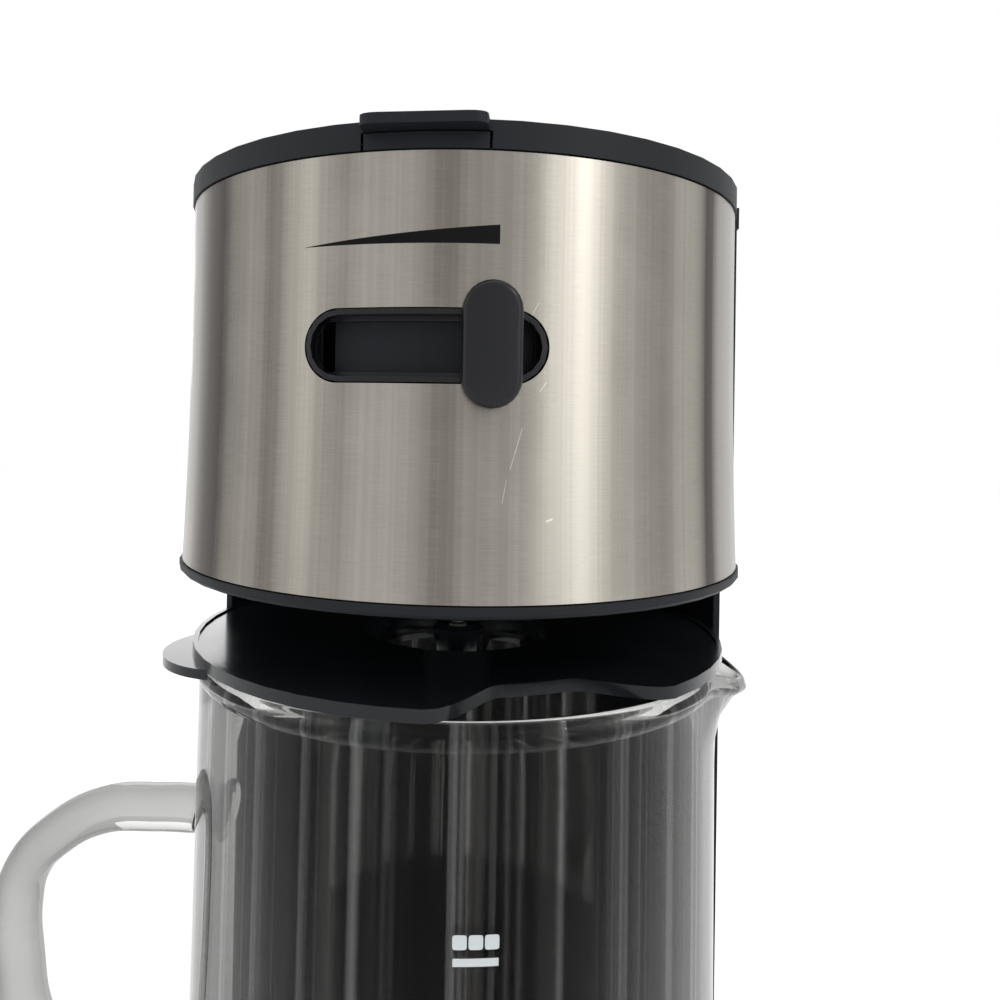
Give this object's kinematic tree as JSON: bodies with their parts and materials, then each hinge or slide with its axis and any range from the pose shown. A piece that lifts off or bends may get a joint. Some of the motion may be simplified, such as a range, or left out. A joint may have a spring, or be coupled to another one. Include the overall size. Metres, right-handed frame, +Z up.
{
  "type": "iced tea maker",
  "caption": "Household iced tea maker: a steel-wrapped round brewing head with a strength slider and a hinged lid, a tank column and a base that carries a glass pitcher.",
  "frame": {"origin": "middle of the bounding box, on the plane the feet stand on", "axes": "+Z up, -Y towards the front with the strength slider, +X towards the pitcher's spout, so the handle is at -X"},
  "size_m": [0.2284, 0.2062, 0.3398],
  "materials": {
    "matte_black": "fine matt",
    "gloss_black": "gloss",
    "brushed_steel": "brushed round the head",
    "clear_glass": "clear",
    "clear_plastic": "clear, faintly grey",
    "rubber": "matt",
    "silicone": "milky",
    "aluminium": "as cast",
    "hardware": "bright zinc",
    "gold_mesh": "fine woven",
    "red_lens": "clear red"
  },
  "bodies": {
    "machine": {"base_housing": "matte_black", "base_cover": "matte_black", "foot_1": "rubber", "foot_2": "rubber", "foot_3": "rubber", "foot_4": "rubber", "base_screw_1": "hardware", "base_screw_2": "hardware", "base_screw_3": "hardware", "base_screw_4": "hardware", "seat_mat": "rubber", "switch_body": "matte_black", "power_lamp": "red_lens", "cord_gland": "rubber", "heater_tube": "aluminium", "heater_cradle": "aluminium", "thermostat": "hardware", "thermal_fuse": "hardware", "inlet_hose": "silicone", "rear_housing": "matte_black", "water_tank": "clear_plastic", "tank_seal": "rubber", "check_valve": "silicone", "riser_tube": "silicone", "head_shell": "matte_black", "steel_band": "brushed_steel", "strength_bezel": "matte_black", "brew_basket": "matte_black", "stop_spring": "hardware", "filter_frame": "gloss_black", "filter_mesh": "gold_mesh", "hinge_pin": "hardware"},
    "head_lid": {"lid_cover": "matte_black", "lid_channel": "matte_black", "spray_disc": "matte_black", "lid_seal": "silicone"},
    "slider": {"strength_knob": "matte_black", "strength_shutter": "matte_black", "valve_ring": "matte_black"},
    "stop": {"drip_stop": "silicone"},
    "button": {"power_button": "gloss_black"},
    "pitcher": {"pitcher_glass": "clear_glass"},
    "pitcher_cover": {"pitcher_lid": "gloss_black"}
  },
  "joints": [
    {"name": "head_lid_hinge", "type": "hinge", "parent": "machine", "child": "head_lid", "pos_m": [0.03032, 0.0911, 0.3367], "axis": [-1, 0, 0], "range_deg": [0, 97]},
    {"name": "strength_slide", "type": "hinge", "parent": "machine", "child": "slider", "pos_m": [0.03032, -0.0189, 0.2923], "axis": [0, 0, 1], "range_deg": [-23, 1]},
    {"name": "pitcher_slide", "type": "slide", "parent": "machine", "child": "pitcher", "axis": [0, -1, 0], "range_m": [0, 0.2]},
    {"name": "pitcher_lid_turn", "type": "hinge", "parent": "pitcher", "child": "pitcher_cover", "pos_m": [0.03032, -0.0189, 0.2137], "axis": [0, 0, 1], "range_deg": [-26, 65]},
    {"name": "drip_stop_drop", "type": "slide", "parent": "machine", "child": "stop", "axis": [0, 0, 1], "range_m": [-0.0025, 0], "deforming": ["stop_spring"]},
    {"name": "power_press", "type": "slide", "parent": "machine", "child": "button", "axis": [0, 1, 0], "range_m": [0, 0.0015], "stiffness_N_per_m": 400, "springref_m": -0.0008}
  ],
  "couplings": [
    {"joint": "drip_stop_drop", "follows": "pitcher_slide", "ratio": -0.012}
  ]
}
